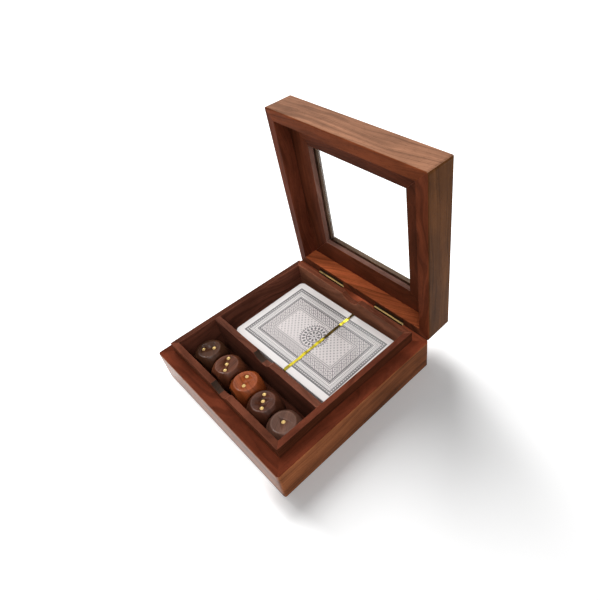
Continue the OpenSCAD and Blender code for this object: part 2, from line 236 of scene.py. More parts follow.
class StageSettings(PropertyGroup):
    """The camera and the light. A lamp's direction is the way to it from the box."""

    camera: FloatVectorProperty(name="Camera", description="Place of the camera",
                                default=(0.1796, -0.09579, 0.24866), subtype="TRANSLATION", size=3)
    azimuth: degrees("Azimuth", "Turn of the camera round the box", 47.53)
    elevation: degrees("Elevation", "Angle at which the camera looks down", 43.16)
    roll: degrees("Roll", "Tilt of the camera about its line of sight", -5.02)
    lens: FloatProperty(name="Lens", description="Focal length on a 36 mm sensor", default=29.39, min=1)
    shift: FloatVectorProperty(name="Shift", description="Shift of the picture, as a share of its width",
                               default=(-0.1167, -0.0167), size=2)
    key: towards("Key light", "Direction of the key light", (-0.85, 0.3, 1.0))
    key_spread: degrees("Key spread", "Width of the key light as an angle", 45)
    key_power: power("Key power", "Strength of the key light", 2.4)
    fill: towards("Fill light", "Direction of the fill light", (0.5, -0.5, 1.15))
    fill_spread: degrees("Fill spread", "Width of the fill light as an angle", 24)
    fill_power: power("Fill power", "Strength of the fill light", 0.95)
    top: towards("Top light", "Direction of the top light", (0.2, -0.1, 1.0))
    top_spread: degrees("Top spread", "Width of the top light as an angle", 10)
    top_power: power("Top power", "Strength of the top light", 0.3)
    glint: towards("Glint light", "Direction of the light that glints on the dice", (-0.47, -0.1, 0.87))
    glint_spread: degrees("Glint spread", "Width of the glint light as an angle", 12)
    glint_power: power("Glint power", "Strength of the glint light", 0.4)
    high: towards("High light", "Direction of the floor's high light", (-0.727, 0.42, 1.0))
    high_spread: degrees("High spread", "Width of the high light as an angle", 25)
    high_power: power("High power", "Strength of the high light", 2.0)
    low: towards("Low light", "Direction of the floor's low light", (-1.706, 0.3, 1.0))
    low_spread: degrees("Low spread", "Width of the low light as an angle", 35)
    low_power: power("Low power", "Strength of the low light", 2.75)
    sky: power("Sky", "Strength of the even light all round", 0.26)
    floor: colour("Floor", "Colour of the floor", (0.82, 0.82, 0.82))
    # The floor's glow as seen is painted light that whitens the box's shadows on the floor; right of the
    # box it is weaker, and the shadow stays
    floor_glow: power("Floor glow", "White added to the floor as seen", 0.75)
    shadow_glow: power("Shadow glow", "White added to the floor at the right of the box", 0.22)
    floor_size: length("Floor size", "Width of the floor", 6)


class CardBoxSettings(PropertyGroup):
    """All settings of the card box."""

    wood: PointerProperty(type=WoodSettings)
    dice: PointerProperty(type=DiceSettings)
    deck: PointerProperty(type=DeckSettings)
    metal: PointerProperty(type=MetalSettings)
    stage: PointerProperty(type=StageSettings)


class Sock:
    """A value in a node tree. Python's operators on it add Math nodes."""

    def __init__(self, nodes, socket):
        self.nodes = nodes
        self.socket = socket

    def math(self, operation, *others):
        return self.nodes.math(operation, self, *others)

    def __add__(self, other):
        return self.math("ADD", other)

    def __sub__(self, other):
        return self.math("SUBTRACT", other)

    def __rsub__(self, other):
        return self.nodes.math("SUBTRACT", other, self)

    def __mul__(self, other):
        return self.math("MULTIPLY", other)

    def __truediv__(self, other):
        return self.math("DIVIDE", other)

    __radd__ = __add__
    __rmul__ = __mul__

    def __abs__(self):
        return self.math("ABSOLUTE")

    def least(self, other):
        return self.math("MINIMUM", other)

    def most(self, other):
        return self.math("MAXIMUM", other)

    def below(self, limit):
        return self.math("LESS_THAN", limit)

    def above(self, limit):
        return self.math("GREATER_THAN", limit)

    def from_middle(self, pitch):
        """How far a value lies from the middle of its step, in a row of steps of this pitch."""
        return abs((self / pitch).math("FRACT") - 0.5) * pitch


class Nodes:
    """A node tree and the one way to add nodes to it."""

    def __init__(self, tree):
        self.tree = tree

    def node(self, kind, settings=None, inputs=None, output=0):
        """Adds a node, sets it up, fills its sockets and returns one output, or all for None."""
        made = self.tree.nodes.new(kind)
        for key, value in (settings or {}).items():
            if key == "stops":
                fill_ramp(made.color_ramp, value)
            else:
                setattr(made, key, value)
        for key, value in (inputs or {}).items():
            if isinstance(value, Sock):
                self.tree.links.new(value.socket, made.inputs[key])
            else:
                made.inputs[key].default_value = value
        if output is None:
            return [Sock(self, socket) for socket in made.outputs]
        return Sock(self, made.outputs[output])

    def math(self, operation, *values):
        return self.node("ShaderNodeMath", {"operation": operation}, dict(enumerate(values)))

    def vector(self, x, y, z):
        return self.node("ShaderNodeCombineXYZ", None, {0: x, 1: y, 2: z})

    def split(self, vector):
        return self.node("ShaderNodeSeparateXYZ", None, {0: vector}, None)

    def step(self, value, low, high, start=0.0, end=1.0):
        """Goes smoothly from start to end as a value goes from low to high."""
        return self.node("ShaderNodeMapRange", {"interpolation_type": "SMOOTHSTEP"},
                         {0: value, 1: low, 2: high, 3: start, 4: end})

    def noise(self, vector, detail=2.0, roughness=0.5):
        inputs = {"Vector": vector, "Scale": 1.0, "Detail": detail, "Roughness": roughness}
        return self.node("ShaderNodeTexNoise", None, inputs)

    def mix(self, share, first, second):
        """A colour between two colours."""
        return self.node("ShaderNodeMix", {"data_type": "RGBA"}, {0: share, 6: first, 7: second}, 2)

    def ramp(self, value, stops):
        return self.node("ShaderNodeValToRGB", {"stops": stops}, {0: value})

    def attribute(self, name):
        """A number that the mesh carries under this name, or 0 where it has none."""
        return self.node("ShaderNodeAttribute", {"attribute_name": name}, None, 2)


def fill_ramp(ramp, stops):
    """Sets a ramp's stops from pairs of place and colour."""
    while len(ramp.elements) < len(stops):
        ramp.elements.new(1.0)
    for element, (place, rgba) in zip(ramp.elements, stops):
        element.position = place
        element.color = rgba


class Paint(Nodes):
    """A material in the making."""

    def __init__(self, name):
        self.material = bpy.data.materials.new(name)
        self.material.use_nodes = True
        super().__init__(self.material.node_tree)
        self.tree.nodes.clear()

    def spot(self, turn=(0, 0, 0), shift=(0, 0, 0)):
        """The place on the piece in millimetres, turned and then shifted."""
        here = self.node("ShaderNodeTexCoord", None, None, 3)
        inputs = {"Vector": here, "Location": shift, "Rotation": turn, "Scale": (PER_METRE,) * 3}
        return self.node("ShaderNodeMapping", {"vector_type": "POINT"}, inputs)

    def bump(self, height, strength, depth):
        inputs = {"Strength": strength, "Distance": depth, "Height": height}
        return self.node("ShaderNodeBump", None, inputs)

    def shader(self, **inputs):
        """A Principled shader. Spaces in its sockets' names are written as underscores."""
        named = {key.replace("_", " "): value for key, value in inputs.items()}
        return self.node("ShaderNodeBsdfPrincipled", None, named)

    def finish(self, surface):
        self.node("ShaderNodeOutputMaterial", None, {"Surface": surface}, None)
        return self.material


def rgba(rgb, times=1.0):
    """A colour with full alpha, made lighter or darker."""
    return (*(min(1.0, part * times) for part in rgb), 1.0)


# A board: its node, its side of the box, its tone, the tone of its skin, the run-out of its grain in
# degrees about the two axes across it, how strong its figure is, how much its skin shines, and where its
# skin looks: 1 is out of the box, and -1 is to the middle. A board may have a stretch of painted light,
# as its ends along the board in millimetres and how much lighter it is there, and a skin with painted
# shade that goes from lighter at one end to darker at the other
Board = namedtuple("Board", "node side tone skin lean slant figure polish looks light fade",
                   defaults=(0.0, 0.0, 1.0, 0.0, 1, None, 0.0))

BASE_BOARDS = (
    Board("base_front_wall", "front", "base", "base_skin", 1.0, 0.5, polish=0.36),
    # Painted light on the back end of the right ledge, and painted shade that darkens the skin from front
    # to back
    Board("base_right_wall", "right", "base", "base_skin", -1.5, 1.0,
          light=(42.0, 70.0, 0.7), fade=0.15),
    # Painted light on the back ledge, where it shows through the back liner's notch
    Board("base_back_wall", "back", "base_back", "base_skin", 2.0, 0.0, light=(-4.0, 7.0, 0.9)),
    Board("base_left_wall", "left", "base_left", "base_skin", 1.0, -1.0),
    Board("bottom_panel", "front", "panel", "panel", 1.0, 2.0),
)
LINER_BOARDS = (
    Board("liner_front", "front", "liner", "liner_skin", 1.5, 1.0),
    Board("liner_right", "right", "liner_right", "liner_skin", -1.0, 0.5),
    Board("liner_back", "back", "liner_back", "liner_back_face", 0.5, -1.0, looks=-1),
    Board("liner_left", "left", "liner_left", "liner_left_face", 2.0, 1.0, looks=-1),
    Board("divider", "front", "divider", "divider", -1.0, 1.0),
)
LID_BOARDS = (
    Board("lid_front_wall", "front", "lid_front", "lid_front_skin", 2.0, 3.0),
    Board("lid_right_wall", "right", "lid", "lid_skin", 1.0, -2.0),
    Board("lid_back_wall", "back", "lid_back", "lid_skin", 4.0, 22.0, 1.3),
    Board("lid_left_wall", "left", "lid_left", "lid_skin", -1.0, 1.5),
)
WINDOW_BOARDS = (
    Board("frame_front_rail", "front", "rail", "rail_edge", looks=-1),
    Board("frame_right_rail", "right", "rail", "rail_edge", looks=-1),
    Board("frame_back_rail", "back", "rail", "rail_edge", looks=-1),
    Board("frame_left_rail", "left", "rail", "rail_edge", looks=-1),
    Board("bead_front", "front", "bead", "bead_edge", 1.0, looks=-1),
    Board("bead_right", "right", "bead", "bead_edge", -1.0, looks=-1),
    Board("bead_back", "back", "bead", "bead_edge", 1.0, looks=-1),
    Board("bead_left", "left", "bead", "bead_edge", 1.5, looks=-1),
)
# Boards whose notches get painted shade on their left half
NOTCHED = ("liner_front", "divider")
OUTWARD = {"front": (0, -1, 0), "right": (1, 0, 0), "back": (0, 1, 0), "left": (-1, 0, 0)}


def board_turn(board):
    """The turn that brings a board's grain to the X axis, after the lid is closed."""
    along = -math.pi / 2 if board.side in ("left", "right") else 0.0
    return (closing_angle(board), math.radians(board.slant), along + math.radians(board.lean))


def closing_angle(board):
    """The turn about the X axis that closes a board's body."""
    return LID_ANGLE if BODY_OF[board.node] == "lid" else 0.0


def mark_skin(shape, board):
    """Marks the faces of a board that are its skin."""
    skin = shape.faces.layers.float.new("skin")
    outward = Matrix.Rotation(-closing_angle(board), 3, "X") @ Vector(OUTWARD[board.side])
    for face in shape.faces:
        face[skin] = float(face.normal.dot(outward) * board.looks > SAME_WAY)


def seed_of(name):
    """A number from 0 to 1 that belongs to a name."""
    return sum((place + 1) * ord(letter) for place, letter in enumerate(name)) % 997 / 997


def paint_wood(name, tone, skin, turn, middle=(0, 0, 0), pith=(46.0, 27.0), figure=1.0, fineness=1.0,
               gloss=0.02, polish=0.0, wax=0.0, light=None, fade=0.0):
    """Oiled wood with growth rings about a pith, dark streaks and pores, with eased edges painted lighter
    as wear and as a painted highlight, painted light and shade where a board has them, and painted shade
    on cut faces.
    """
    paint = Paint(name)
    seed = seed_of(name)
    shift = Vector((GRAIN_SPREAD * seed, *pith)) - Euler(turn).to_matrix() @ (PER_METRE * Vector(middle))
    spot = paint.spot(turn, shift)
    along, across, deep = paint.split(spot)
    sway = paint.noise(paint.vector(along * 0.013, across * 0.03, deep * 0.03 + 10 * seed), 2.0) - 0.5
    ring = (across * across + deep * deep).math("SQRT") + sway * 16.0
    ring = ring * fineness
    band = paint.noise(paint.vector(along * 0.006, ring * 0.14, 20 * seed), 3.0, 0.6)
    streak = paint.noise(paint.vector(along * 0.012, ring * 0.6, 30 * seed), 4.0, 0.65)
    line = paint.noise(paint.vector(along * 0.009, ring * 1.5, 40 * seed), 1.0)
    fibre = paint.noise(paint.vector(along * 0.3, across * 6.0, deep * 6.0), 2.0)
    pore = paint.noise(paint.vector(along * 0.4, across * 4.5, deep * 4.5), 1.0, 0.4)
    lines = paint.step(line, 0.56, 0.72)
    pores = paint.step(pore, 0.62, 0.72)
    value = paint.step(band * 0.5 + streak * 0.42 + fibre * 0.08, 0.5 - 0.2 / figure, 0.5 + 0.2 / figure)
    blotch = paint.noise(paint.vector(along * 0.025, across * 0.07, deep * 0.07 + 50 * seed), 3.0, 0.6)
    shade = paint.step(value, 0.0, 1.0, 0.66, 1.34) * (1 - lines * (0.28 * figure)) * (1 - pores * 0.35)
    shade = shade * paint.step(blotch, 0.3, 0.7, 0.76, 1.24)
    # Eased edges are painted lighter: partly wear, partly a painted highlight
    shade = shade * (1 + paint.attribute("worn") * fibre * 0.7)
    on_skin = paint.attribute("skin")
    place = along - GRAIN_SPREAD * seed
    # Painted light: a stretch of the board's ledge or inner faces painted lighter
    if light:
        start, end, painted_gain = light
        inside = paint.step(place, start - PAINTED_LIGHT_EDGE, start + PAINTED_LIGHT_EDGE)
        inside = inside * paint.step(place, end + PAINTED_LIGHT_EDGE, end - PAINTED_LIGHT_EDGE)
        shade = shade * (1 + inside * (1 - on_skin) * painted_gain)
    # Painted shade: the skin goes from lighter at one end to darker at the other
    if fade:
        shade = shade * (1 + on_skin * paint.step(place, -HALF_BOARD, HALF_BOARD, fade, -fade))
    wood = paint.mix(on_skin, rgba(tone), rgba(skin))
    wood = paint.node("ShaderNodeVectorMath", {"operation": "SCALE"}, {"Vector": wood, "Scale": shade})
    # Painted shade on the left half of the notches, on the hinge wall's rim and along the hinge gap
    wood = paint.mix(paint.attribute("stain"), wood, rgba(PAINTED_SHADE_COLOUR))
    height = fibre * 0.4 - pores - lines * 0.3
    return paint.finish(paint.shader(
        Base_Color=wood,
        Roughness=0.3 + fibre * 0.12 + pores * 0.15,
        Specular_IOR_Level=gloss,
        Coat_Weight=on_skin * polish + (paint.attribute("worn") * 0.8 + 0.2) * wax,
        Coat_Roughness=0.18,
        Normal=paint.bump(height, 0.35, 0.04 * MM),
    ))


def welded(node):
    """A copy of a CAD node's mesh with its triangles joined into whole faces."""
    shape = bmesh.new()
    shape.from_mesh(frame["nodes"][node].data)
    bmesh.ops.remove_doubles(shape, verts=shape.verts, dist=WELD)
    bmesh.ops.dissolve_limit(shape, angle_limit=FLAT_ANGLE, verts=shape.verts, edges=shape.edges)
    return shape


def ease_edges(shape, width):
    """Rounds the sharp edges, and marks the new faces for wear and a painted highlight."""
    worn = shape.faces.layers.float.new("worn")
    sharp = [edge for edge in shape.edges if is_sharp(edge) and not at_hinge_line(*edge.verts)]
    made = bmesh.ops.bevel(shape, geom=sharp, offset=width, offset_type="OFFSET", segments=3,
                           profile=0.5, affect="EDGES", clamp_overlap=True)
    for face in made["faces"]:
        face[worn] = 1.0


def is_sharp(edge):
    return edge.is_manifold and edge.calc_face_angle() > SHARP_ANGLE


def at_hinge_line(*verts):
    return all((vert.co.yz - HINGE_LINE).length < HINGE_REACH for vert in verts)


def meet_at_hinge_line(shape):
    """Moves a back wall's edge on to the hinge line, so that no light shows between base and lid."""
    for vert in shape.verts:
        if at_hinge_line(vert):
            vert.co.yz = HINGE_LINE


def mark_painted_shade(shape, board):
    """Marks painted shade: on the left half of a finger notch, and on the rim of the lid's hinge wall.

    The rim is darkest in a strip along the hinge line, a painted shadow that stands for the gap there.
    """
    stain = shape.faces.layers.float.new("stain")
    rim = Matrix.Rotation(-closing_angle(board), 3, "X") @ Vector((0, 0, -1))
    top = top_of(shape) - WELD
    gap = HINGE_LINE.y + SHADED_GAP_WIDTH
    if board.node == "lid_back_wall":
        bmesh.ops.bisect_plane(shape, geom=shape.verts[:] + shape.edges[:] + shape.faces[:],
                               plane_co=(0, 0, gap), plane_no=(0, 0, 1))
    for face in shape.faces:
        cut = face.normal.z > 0.3 and face.normal.x > 0.08 and face.calc_center_median().z < top
        if board.node in NOTCHED and cut:
            face[stain] = NOTCH_SHADE
        if board.node == "lid_back_wall" and face.normal.dot(rim) > SAME_WAY:
            face[stain] = GAP_SHADE if face.calc_center_median().z < gap else RIM_SHADE


def top_of(shape):
    return max(vert.co.z for vert in shape.verts)


def piece_from(shape, name, node, material, sharp=SHARP_ANGLE, weighted=True):
    """Makes an object of a mesh that stands for a CAD node."""
    mesh = bpy.data.meshes.new(name)
    shape.to_mesh(mesh)
    shape.free()
    return finish_piece(mesh, name, node, material, sharp, weighted)


def finish_piece(mesh, name, node, material, sharp=SHARP_ANGLE, weighted=False):
    """Puts a mesh in the scene as a piece that rides on its node's body and stands for the node.

    Edges past an angle are sharp, and weighted shading is even on flat faces.
    """
    mesh.materials.clear()
    mesh.materials.append(material)
    mesh.shade_smooth()
    mesh.set_sharp_from_angle(angle=sharp)
    piece = bpy.data.objects.new(name, mesh)
    bpy.context.scene.collection.objects.link(piece)
    if weighted:
        even = piece.modifiers.new("Even shading", "WEIGHTED_NORMAL")
        even.keep_sharp = True
        make_plain(piece)
    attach(piece, BODY_OF[node])
    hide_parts(node)
    return piece


def make_plain(piece):
    """Turns what a piece's modifiers make into its own mesh."""
    bpy.context.view_layer.update()
    ready = bpy.context.evaluated_depsgraph_get()
    mesh = bpy.data.meshes.new_from_object(piece.evaluated_get(ready), preserve_all_data_layers=True,
                                           depsgraph=ready)
    piece.modifiers.clear()
    piece.data = mesh


def make_boards(boards, settings):
    """Makes a row of wooden boards from their CAD nodes."""
    for board in boards:
        shape = welded(board.node)
        mark_painted_shade(shape, board)
        mark_skin(shape, board)
        meet_at_hinge_line(shape)
        ease_edges(shape, settings.wood.ease)
        name = board.node + "_wood"
        tone = getattr(settings.wood, board.tone)
        skin = getattr(settings.wood, board.skin)
        material = paint_wood(name, tone, skin, board_turn(board), figure=board.figure,
                              polish=board.polish, light=board.light, fade=board.fade)
        piece_from(shape, name, board.node, material)


class BoardStep:
    """What the steps that only make boards share."""

    def execute(self, context):
        make_boards(self.boards, context.scene.card_box)
        return {"FINISHED"}


class CARDBOX_OT_base_walls(BoardStep, Operator):
    """Make the outer walls and the bottom panel of the base"""

    bl_idname = "cardbox.base_walls"
    bl_label = "Base Walls"
    boards = BASE_BOARDS


class CARDBOX_OT_liners(BoardStep, Operator):
    """Make the liners and the divider between the bays"""

    bl_idname = "cardbox.liners"
    bl_label = "Liners"
    boards = LINER_BOARDS


class CARDBOX_OT_lid_walls(BoardStep, Operator):
    """Make the outer walls of the lid"""

    bl_idname = "cardbox.lid_walls"
    bl_label = "Lid Walls"
    boards = LID_BOARDS


def paint_glass(settings):
    """Clear glass that lets the light of lamps through."""
    paint = Paint("window_glass_clear")
    smear = paint.noise(paint.spot(), 3.0)
    clear = paint.shader(
        Base_Color=rgba(settings.metal.glass),
        Roughness=paint.step(smear, 0.5, 0.8, 0.0, 0.03),
        IOR=1.46,
        Transmission_Weight=1.0,
    )
    return paint.finish(clear)


class CARDBOX_OT_window(Operator):
    """Make the window frame, the beads and the glass of the lid"""

    bl_idname = "cardbox.window"
    bl_label = "Window"

    glass_ease = 0.0002

    def execute(self, context):
        settings = context.scene.card_box
        make_boards(WINDOW_BOARDS, settings)
        shape = welded("glass_pane")
        ease_edges(shape, self.glass_ease)
        piece_from(shape, "glass_pane_clear", "glass_pane", paint_glass(settings))
        return {"FINISHED"}


def paint_brass(name, settings, tarnish=0.5, shade_leaves=False):
    """Brass with brushed lines and dark tarnish in patches.

    With shaded leaves, the leaves, the screws and the lower part of the barrels are dark, as varnish and
    painted shade, and the brass is bright on top of the barrels alone.
    """
    paint = Paint(name)
    spot = paint.spot()
    x, y, z = paint.split(spot)
    patch = paint.noise(paint.vector(x * 0.35, y * 0.6, z * 0.6), 4.0, 0.6)
    brushed = paint.noise(paint.vector(x * 0.4, y * 9.0, z * 9.0), 2.0)
    dull = paint.step(patch, 0.62 - 0.3 * tarnish, 0.8 - 0.2 * tarnish)
    metal = paint.mix(dull * 0.8, rgba(settings.metal.brass), rgba(settings.metal.tarnish))
    leaf_shade_mask = 0.0
    # Painted shade: all but the top of the barrels takes the dark colour of the leaves
    if shade_leaves:
        aside, above = (PER_METRE * part for part in HINGE_LINE)
        reach = ((y - aside) * (y - aside) + (z - above) * (z - above)).math("SQRT")
        leaf_shade_mask = paint.step(reach, BARREL_REACH - 0.05, BARREL_REACH + 0.05)
        leaf_shade_mask = leaf_shade_mask.most(paint.step(z - above, *BARREL_SHADE_TOP))
        metal = paint.mix(leaf_shade_mask, metal, rgba(settings.metal.leaf_shade))
    return paint.finish(paint.shader(
        Base_Color=metal,
        Metallic=1.0 - 0.7 * leaf_shade_mask,
        Roughness=0.22 + dull * 0.25 + brushed * 0.12,
        Normal=paint.bump(brushed, 0.2, 0.02 * MM),
    ))


class CARDBOX_OT_hinges(Operator):
    """Finish the hinge leaves, their pins and their screws in brass"""

    bl_idname = "cardbox.hinges"
    bl_label = "Hinges"

    dull_nodes = (
        "base_hinge_leaf_left", "base_hinge_leaf_right", "lid_hinge_leaf_left", "lid_hinge_leaf_right",
        "base_hinge_screws", "lid_hinge_screws",
    )
    bright_nodes = ("hinge_pin_left", "hinge_pin_right")

    def execute(self, context):
        settings = context.scene.card_box
        # The leaves and screws are dark, as varnish and painted shade, and bright on top of the barrels
        dull = paint_brass("hinge_brass_dull", settings, 0.3, True)
        bright = paint_brass("hinge_brass_bright", settings, 0.1)
        for nodes, material in ((self.dull_nodes, dull), (self.bright_nodes, bright)):
            for node in nodes:
                mesh = frame["nodes"][node].data
                mesh.materials.clear()
                mesh.materials.append(material)
        return {"FINISHED"}


def rounded_outline(long, wide, radius, steps=8):
    """Points round a card's outline, with its corners as arcs."""
    points = []
    for turn, (x, y) in enumerate(((1, 1), (-1, 1), (-1, -1), (1, -1))):
        middle = Vector((x * (long / 2 - radius), y * (wide / 2 - radius)))
        for step in range(steps + 1):
            angle = (turn + step / steps) * math.pi / 2
            points.append(middle + radius * Vector((math.cos(angle), math.sin(angle))))
    return points


def card_shape(deck, thickness, steps=8):
    """A card lying on the XY plane about the origin, with a UV map over its face."""
    shape = bmesh.new()
    outline = rounded_outline(deck.card_length, deck.card_width, deck.corner_radius, steps)
    low = [shape.verts.new((point.x, point.y, 0.0)) for point in outline]
    high = [shape.verts.new((point.x, point.y, thickness)) for point in outline]
    shape.faces.new(reversed(low))
    shape.faces.new(high)
    for here in range(len(outline)):
        after = (here + 1) % len(outline)
        shape.faces.new((low[here], low[after], high[after], high[here]))
    layer = shape.loops.layers.uv.new("card_face")
    for face in shape.faces:
        for loop in face.loops:
            place = loop.vert.co
            loop[layer].uv = (place.x / deck.card_length + 0.5, place.y / deck.card_width + 0.5)
    return shape


def deck_place(deck, height):
    """The turn and place of the deck in its bay, at a height."""
    low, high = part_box("card_stack")
    middle = (low + high) / 2
    return Matrix.Translation((middle.x, middle.y, height)) @ Matrix.Rotation(deck.turn, 4, "Z")


class Rule(Nodes):
    """A tree of Geometry Nodes with named inputs, which works on one object."""

    def __init__(self, name):
        super().__init__(bpy.data.node_groups.new(name, "GeometryNodeTree"))
        self.sockets = {}
        self.tree.interface.new_socket("Geometry", in_out="OUTPUT", socket_type="NodeSocketGeometry")
        self.entry = self.tree.nodes.new("NodeGroupInput")
        self.entry_of("Geometry", "Geometry")

    def entry_of(self, name, kind):
        """Adds an input and returns its value."""
        made = self.tree.interface.new_socket(name, in_out="INPUT", socket_type="NodeSocket" + kind)
        self.sockets[name] = made.identifier
        return Sock(self, self.entry.outputs[name])

    def given(self):
        return Sock(self, self.entry.outputs["Geometry"])

    def random(self, low, high, seed):
        """A number between two limits for each copy."""
        inputs = {2: low, 3: high, "Seed": seed}
        return self.node("FunctionNodeRandomValue", {"data_type": "FLOAT"}, inputs, 1)

    def finish(self, shape, material):
        """Realizes the shape, sets its material and ends the tree."""
        whole = self.node("GeometryNodeRealizeInstances", None, {0: shape})
        dressed = self.node("GeometryNodeSetMaterial", None, {"Geometry": whole, "Material": material})
        self.node("NodeGroupOutput", None, {0: dressed}, None)

    def run(self, mesh, **values):
        """The plain mesh that the tree makes of a mesh, with its inputs set."""
        holder = bpy.data.objects.new("rule_holder", mesh)
        bpy.context.scene.collection.objects.link(holder)
        modifier = holder.modifiers.new("Rule", "NODES")
        modifier.node_group = self.tree
        for name, value in values.items():
            modifier[self.sockets[name]] = value
        make_plain(holder)
        made = holder.data
        bpy.data.objects.remove(holder)
        return made


def pile_rule():
    """Piles up copies of a card, each a little out of line and with a tone of its own."""
    rule = Rule("card_pile")
    cards = rule.entry_of("Cards", "Int")
    pitch = rule.entry_of("Pitch", "Float")
    slip = rule.entry_of("Slip", "Float")
    seed = rule.entry_of("Seed", "Int")
    material = rule.entry_of("Material", "Material")
    line = rule.node("GeometryNodeMeshLine", {"mode": "OFFSET"},
                     {"Count": cards, "Offset": rule.vector(0.0, 0.0, pitch)})
    pile = rule.node("GeometryNodeInstanceOnPoints", None, {"Points": line, "Instance": rule.given()})
    aside = rule.random(slip * -1.0, slip, seed)
    along = rule.random(slip * -1.0, slip, seed + 1)
    tone = rule.random(0.0, 1.0, seed + 2)
    pile = rule.node("GeometryNodeTranslateInstances", None, {
        "Instances": pile, "Translation": rule.vector(along, aside, 0.0), "Local Space": False,
    })
    pile = rule.node("GeometryNodeStoreNamedAttribute", {"data_type": "FLOAT", "domain": "INSTANCE"},
                     {"Geometry": pile, "Name": "card_tone", "Value": tone})
    rule.finish(pile, material)
    return rule


def paint_card_edges(settings):
    """White card stock whose cards differ a little, with fine lines along the cut edges."""
    paint = Paint("card_board_edges")
    x, y, z = paint.split(paint.spot())
    speck = paint.noise(paint.vector(x * 1.5, y * 1.5, z * 12.0), 2.0)
    shade = paint.attribute("card_tone") * 0.6 + speck * 0.4
    paper = settings.deck.paper
    return paint.finish(paint.shader(
        Base_Color=paint.ramp(shade, ((0.2, rgba(paper, 0.72)), (0.8, rgba(paper)))),
        Roughness=0.55 + speck * 0.2,
    ))


def paint_card_back(settings):
    """Coated card with a printed back: nested borders, a lattice, a dotted field and a rosette.

    Places and widths in the print are millimetres.
    """
    deck = settings.deck
    paint = Paint("card_back_print")
    face = paint.node("ShaderNodeUVMap", {"uv_map": "card_face"})
    u, v, _ = paint.split(face)
    x = (u - 0.5) * (deck.card_length * PER_METRE)
    y = (v - 0.5) * (deck.card_width * PER_METRE)
    from_end = deck.print_length * PER_METRE / 2 - abs(x)
    from_side = deck.print_width * PER_METRE / 2 - abs(y)
    inset = from_end.least(from_side)
    on_side = from_side.below(from_end)
    along = x * on_side + y * (1 - on_side)

    def within(low, high):
        return inset.above(low) * inset.below(high)

    def frame_line(place, width):
        return abs(inset - place).below(width / 2)

    diamond = (along.from_middle(1.6) / 0.8 + abs(inset - 1.45) / 0.8).above(0.62)
    ink = within(0.5, 2.4) * diamond * 0.88
    fan_x = along.from_middle(2.2)
    fan_r = (fan_x * fan_x + (inset - 2.4) * (inset - 2.4)).math("SQRT")
    fan = abs(fan_r - 1.05).below(0.16).most(abs(fan_r - 1.9).below(0.2)).most(fan_r.below(0.5))
    reed = along.from_middle(1.1).below(0.17) * inset.above(4.3)
    ink = ink.most(within(2.4, 5.7) * fan.most(reed) * 0.7)
    lattice_pitch = 3.8
    rising = (x - y).from_middle(lattice_pitch)
    falling = (x + y).from_middle(lattice_pitch)
    bars = falling.below(0.31).most(rising.below(0.31))
    knots = falling.above(1.25) * rising.above(1.25)
    ink = ink.most(within(7.3, 12.8) * bars.most(knots) * 0.85)
    dot_pitch = 3.0
    dot_x = x.from_middle(dot_pitch)
    dot_y = y.from_middle(dot_pitch)
    dots = (dot_x * dot_x + dot_y * dot_y).math("SQRT").below(0.5)
    cross = (dot_x.above(1.34) * dot_y.above(0.9)).most(dot_y.above(1.34) * dot_x.above(0.9))
    ink = ink.most(inset.above(14.6) * dots.most(cross) * 0.7)
    for place, width in ((0.25, 0.5), (6.15, 0.55), (7.0, 0.65), (13.2, 0.4), (14.3, 0.35)):
        ink = ink.most(frame_line(place, width) * 0.95)
    ink = ink * inset.above(0.0)
    rosette, disc = paint_rosette(x, y)
    ink = rosette + ink * (1 - disc)
    ground = paint.mix(inset.above(6.5), rgba(deck.paper), rgba(deck.field))
    weave = paint.noise(paint.vector(x * 2.2, y * 2.2, 0.0), 2.0)
    return paint.finish(paint.shader(
        Base_Color=paint.mix(ink * 0.92, ground, rgba(deck.ink)),
        Roughness=0.34 + weave * 0.08,
        Coat_Weight=0.25,
        Coat_Roughness=0.12,
        Normal=paint.bump(weave, 0.05, 0.02 * MM),
    ))


def paint_rosette(x, y):
    """The ink of a round rosette at the card's middle, and the disc that it covers."""
    reach = (x * x + y * y).math("SQRT")
    angle = y.math("ARCTAN2", x)

    def ring(place, width):
        return abs(reach - place).below(width / 2)

    def petals(count, low, high, fat):
        """Leaf-shaped petals between two radii."""
        share = (reach - low) / (high - low)
        bulge = share * (1 - share) * 4.0
        inside = reach.above(low) * reach.below(high)
        return inside * (angle.from_middle(2 * math.pi / count) * reach).below(bulge * fat)

    ink = ring(0.0, 1.5).most(ring(1.5, 0.3))
    ink = ink.most(petals(9, 1.9, 4.4, 0.75)).most(ring(4.8, 0.7))
    ink = ink.most(petals(18, 5.4, 8.0, 0.75)).most(ring(8.5, 0.45))
    ink = ink.most(petals(36, 8.6, 9.9, 0.36))
    return ink * 0.9, reach.below(10.4)


def band_point(share, half_width, half_height, radius):
    """The place and outward direction at a share of the way round a rounded rectangle.

    The way begins at the middle of its top and first goes to the right.
    """
    sides = (
        (half_width - radius, (0, 1), (1, 0)), (None, (1, 1), None),
        (2 * (half_height - radius), (1, 0), (0, -1)), (None, (1, -1), None),
        (2 * (half_width - radius), (0, -1), (-1, 0)), (None, (-1, -1), None),
        (2 * (half_height - radius), (-1, 0), (0, 1)), (None, (-1, 1), None),
        (half_width - radius, (0, 1), (1, 0)),
    )
    arc = radius * math.pi / 2
    whole = 4 * (half_width - radius) + 4 * (half_height - radius) + 4 * arc
    rest = share * whole
    here = Vector((0.0, half_height))
    for long, outward, way in sides:
        span = arc if long is None else long
        if long is None:
            middle = Vector((outward[0] * (half_width - radius), outward[1] * (half_height - radius)))
            start = math.atan2(here.y - middle.y, here.x - middle.x)
            turn = start - min(rest, arc) / radius
            direction = Vector((math.cos(turn), math.sin(turn)))
            here = middle + radius * direction
        else:
            direction = Vector(outward)
            here = here + min(rest, long) * Vector(way)
        if rest <= span:
            return here, direction
        rest -= span
    return here, Vector((0, 1))


